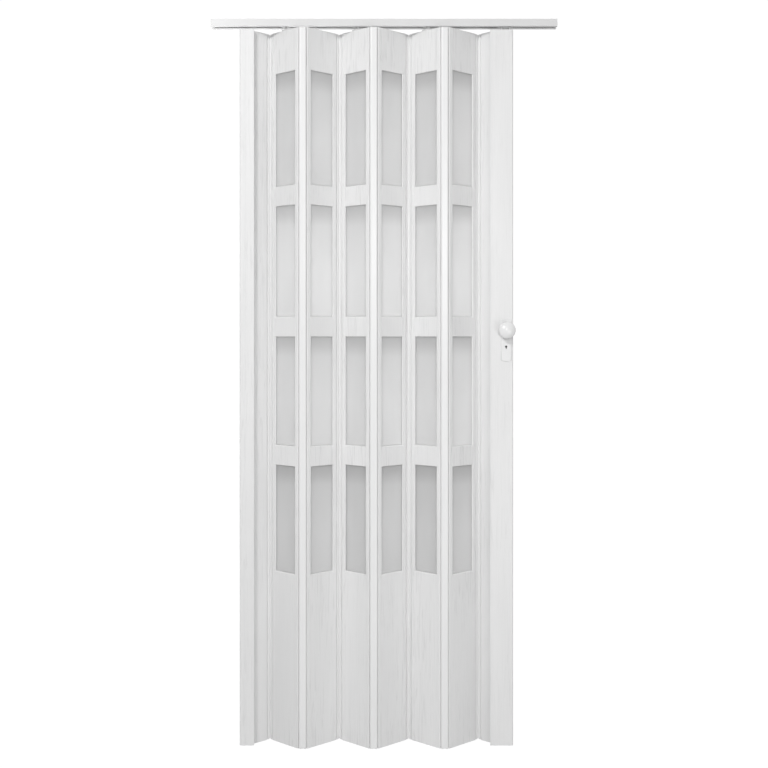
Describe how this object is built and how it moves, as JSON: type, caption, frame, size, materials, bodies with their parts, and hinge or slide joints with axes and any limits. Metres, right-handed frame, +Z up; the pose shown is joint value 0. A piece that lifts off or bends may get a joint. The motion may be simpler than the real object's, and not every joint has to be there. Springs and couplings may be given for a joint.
{
  "type": "accordion folding door",
  "caption": "White accordion folding door with frosted panes in its hinged leaves, hung from an overhead track, with a wall channel and a lead post that carries knob, plate and lock.",
  "frame": {"origin": "centre of the track's top face, where it meets the lintel", "axes": "+X along the track from the wall channel to the lead post, +Y from the knob side shown in the picture to the far side, +Z up"},
  "size_m": [0.968, 0.1, 2.029],
  "materials": {
    "embossed_pvc": "wood grain embossing",
    "soft_pvc": "smooth satin",
    "frosted_acrylic": "frosted, slightly translucent",
    "nylon": "satin",
    "zinc_steel": "zinc plated",
    "moulded_plastic": "semi-gloss moulded plastic"
  },
  "bodies": {
    "frame": {"track": "embossed_pvc", "wall_channel": "embossed_pvc"},
    "half_leaf_wall_body": {"half_leaf_wall": "embossed_pvc"},
    "strip_1_body": {"hinge_strip_1": "soft_pvc"},
    "leaf_1_body": {"leaf_1": "embossed_pvc", "panes_1": "frosted_acrylic", "hanger_1": "nylon"},
    "glider_1_body": {"glider_1": "nylon"},
    "strip_2_body": {"hinge_strip_2": "soft_pvc"},
    "leaf_2_body": {"leaf_2": "embossed_pvc", "panes_2": "frosted_acrylic"},
    "strip_3_body": {"hinge_strip_3": "soft_pvc"},
    "leaf_3_body": {"leaf_3": "embossed_pvc", "panes_3": "frosted_acrylic", "hanger_3": "nylon"},
    "glider_3_body": {"glider_3": "nylon"},
    "strip_4_body": {"hinge_strip_4": "soft_pvc"},
    "leaf_4_body": {"leaf_4": "embossed_pvc", "panes_4": "frosted_acrylic"},
    "strip_5_body": {"hinge_strip_5": "soft_pvc"},
    "leaf_5_body": {"leaf_5": "embossed_pvc", "panes_5": "frosted_acrylic", "hanger_5": "nylon"},
    "glider_5_body": {"glider_5": "nylon"},
    "strip_6_body": {"hinge_strip_6": "soft_pvc"},
    "leaf_6_body": {"leaf_6": "embossed_pvc", "panes_6": "frosted_acrylic"},
    "strip_7_body": {"hinge_strip_7": "soft_pvc"},
    "half_leaf_post_body": {"half_leaf_post": "embossed_pvc"},
    "post_body": {"lead_post": "embossed_pvc", "post_cap_top": "nylon", "post_cap_bottom": "nylon", "post_glider": "nylon", "plate_front": "moulded_plastic", "plate_rear": "moulded_plastic", "plate_screws": "zinc_steel", "lock_case": "zinc_steel"},
    "knob_body": {"knob_front": "moulded_plastic", "knob_rear": "moulded_plastic", "spindle": "zinc_steel", "latch_hub": "zinc_steel"},
    "latch_body": {"latch_bolt": "zinc_steel"},
    "key_body": {"key_cam": "zinc_steel"}
  },
  "joints": [
    {"name": "fold", "type": "hinge", "parent": "frame", "child": "half_leaf_wall_body", "pos_m": [-0.373, 0, -1.029], "axis": [0, 0, 1], "range_deg": [-19, 41.8]},
    {"name": "strip_1_turn", "type": "hinge", "parent": "half_leaf_wall_body", "child": "strip_1_body", "pos_m": [-0.32978, 0.03401, -1.029], "axis": [0, 0, 1], "range_deg": [-41.8, 19]},
    {"name": "leaf_1_turn", "type": "hinge", "parent": "strip_1_body", "child": "leaf_1_body", "pos_m": [-0.31778, 0.03401, -1.029], "axis": [0, 0, 1], "range_deg": [-41.8, 19]},
    {"name": "glider_1_swivel", "type": "hinge", "parent": "leaf_1_body", "child": "glider_1_body", "pos_m": [-0.27456, 0, -0.014], "axis": [0, 0, 1], "range_deg": [-19, 41.8]},
    {"name": "strip_2_turn", "type": "hinge", "parent": "leaf_1_body", "child": "strip_2_body", "pos_m": [-0.23133, -0.03401, -1.029], "axis": [0, 0, 1], "range_deg": [-19, 41.8]},
    {"name": "leaf_2_turn", "type": "hinge", "parent": "strip_2_body", "child": "leaf_2_body", "pos_m": [-0.21933, -0.03401, -1.029], "axis": [0, 0, 1], "range_deg": [-19, 41.8]},
    {"name": "strip_3_turn", "type": "hinge", "parent": "leaf_2_body", "child": "strip_3_body", "pos_m": [-0.13289, 0.03401, -1.029], "axis": [0, 0, 1], "range_deg": [-41.8, 19]},
    {"name": "leaf_3_turn", "type": "hinge", "parent": "strip_3_body", "child": "leaf_3_body", "pos_m": [-0.12089, 0.03401, -1.029], "axis": [0, 0, 1], "range_deg": [-41.8, 19]},
    {"name": "glider_3_swivel", "type": "hinge", "parent": "leaf_3_body", "child": "glider_3_body", "pos_m": [-0.07767, 0, -0.014], "axis": [0, 0, 1], "range_deg": [-19, 41.8]},
    {"name": "strip_4_turn", "type": "hinge", "parent": "leaf_3_body", "child": "strip_4_body", "pos_m": [-0.03445, -0.03401, -1.029], "axis": [0, 0, 1], "range_deg": [-19, 41.8]},
    {"name": "leaf_4_turn", "type": "hinge", "parent": "strip_4_body", "child": "leaf_4_body", "pos_m": [-0.02244, -0.03401, -1.029], "axis": [0, 0, 1], "range_deg": [-19, 41.8]},
    {"name": "strip_5_turn", "type": "hinge", "parent": "leaf_4_body", "child": "strip_5_body", "pos_m": [0.064, 0.03401, -1.029], "axis": [0, 0, 1], "range_deg": [-41.8, 19]},
    {"name": "leaf_5_turn", "type": "hinge", "parent": "strip_5_body", "child": "leaf_5_body", "pos_m": [0.076, 0.03401, -1.029], "axis": [0, 0, 1], "range_deg": [-41.8, 19]},
    {"name": "glider_5_swivel", "type": "hinge", "parent": "leaf_5_body", "child": "glider_5_body", "pos_m": [0.11922, 0, -0.014], "axis": [0, 0, 1], "range_deg": [-19, 41.8]},
    {"name": "strip_6_turn", "type": "hinge", "parent": "leaf_5_body", "child": "strip_6_body", "pos_m": [0.16244, -0.03401, -1.029], "axis": [0, 0, 1], "range_deg": [-19, 41.8]},
    {"name": "leaf_6_turn", "type": "hinge", "parent": "strip_6_body", "child": "leaf_6_body", "pos_m": [0.17444, -0.03401, -1.029], "axis": [0, 0, 1], "range_deg": [-19, 41.8]},
    {"name": "strip_7_turn", "type": "hinge", "parent": "leaf_6_body", "child": "strip_7_body", "pos_m": [0.26089, 0.03401, -1.029], "axis": [0, 0, 1], "range_deg": [-41.8, 19]},
    {"name": "half_leaf_post_turn", "type": "hinge", "parent": "strip_7_body", "child": "half_leaf_post_body", "pos_m": [0.27289, 0.03401, -1.029], "axis": [0, 0, 1], "range_deg": [-41.8, 19]},
    {"name": "post_turn", "type": "hinge", "parent": "half_leaf_post_body", "child": "post_body", "pos_m": [0.31611, 0, -1.029], "axis": [0, 0, 1], "range_deg": [-19, 41.8]},
    {"name": "knob_turn", "type": "hinge", "parent": "post_body", "child": "knob_body", "pos_m": [0.34111, 0, -0.869], "axis": [0, -1, 0], "range_deg": [0, 35], "stiffness_Nm_per_rad": 0.3},
    {"name": "latch_slide", "type": "slide", "parent": "post_body", "child": "latch_body", "axis": [-1, 0, 0], "range_m": [0, 0.00595]},
    {"name": "key_turn", "type": "hinge", "parent": "post_body", "child": "key_body", "pos_m": [0.34111, 0, -0.915], "axis": [0, -1, 0], "range_deg": [0, 90]}
  ],
  "couplings": [
    {"joint": "strip_1_turn", "follows": "fold", "ratio": -1},
    {"joint": "leaf_1_turn", "follows": "fold", "ratio": -1},
    {"joint": "glider_1_swivel", "follows": "fold", "ratio": 1},
    {"joint": "strip_2_turn", "follows": "fold", "ratio": 1},
    {"joint": "leaf_2_turn", "follows": "fold", "ratio": 1},
    {"joint": "strip_3_turn", "follows": "fold", "ratio": -1},
    {"joint": "leaf_3_turn", "follows": "fold", "ratio": -1},
    {"joint": "glider_3_swivel", "follows": "fold", "ratio": 1},
    {"joint": "strip_4_turn", "follows": "fold", "ratio": 1},
    {"joint": "leaf_4_turn", "follows": "fold", "ratio": 1},
    {"joint": "strip_5_turn", "follows": "fold", "ratio": -1},
    {"joint": "leaf_5_turn", "follows": "fold", "ratio": -1},
    {"joint": "glider_5_swivel", "follows": "fold", "ratio": 1},
    {"joint": "strip_6_turn", "follows": "fold", "ratio": 1},
    {"joint": "leaf_6_turn", "follows": "fold", "ratio": 1},
    {"joint": "strip_7_turn", "follows": "fold", "ratio": -1},
    {"joint": "half_leaf_post_turn", "follows": "fold", "ratio": -1},
    {"joint": "post_turn", "follows": "fold", "ratio": 1},
    {"joint": "latch_slide", "follows": "knob_turn", "m_per_rad": 0.00974}
  ]
}
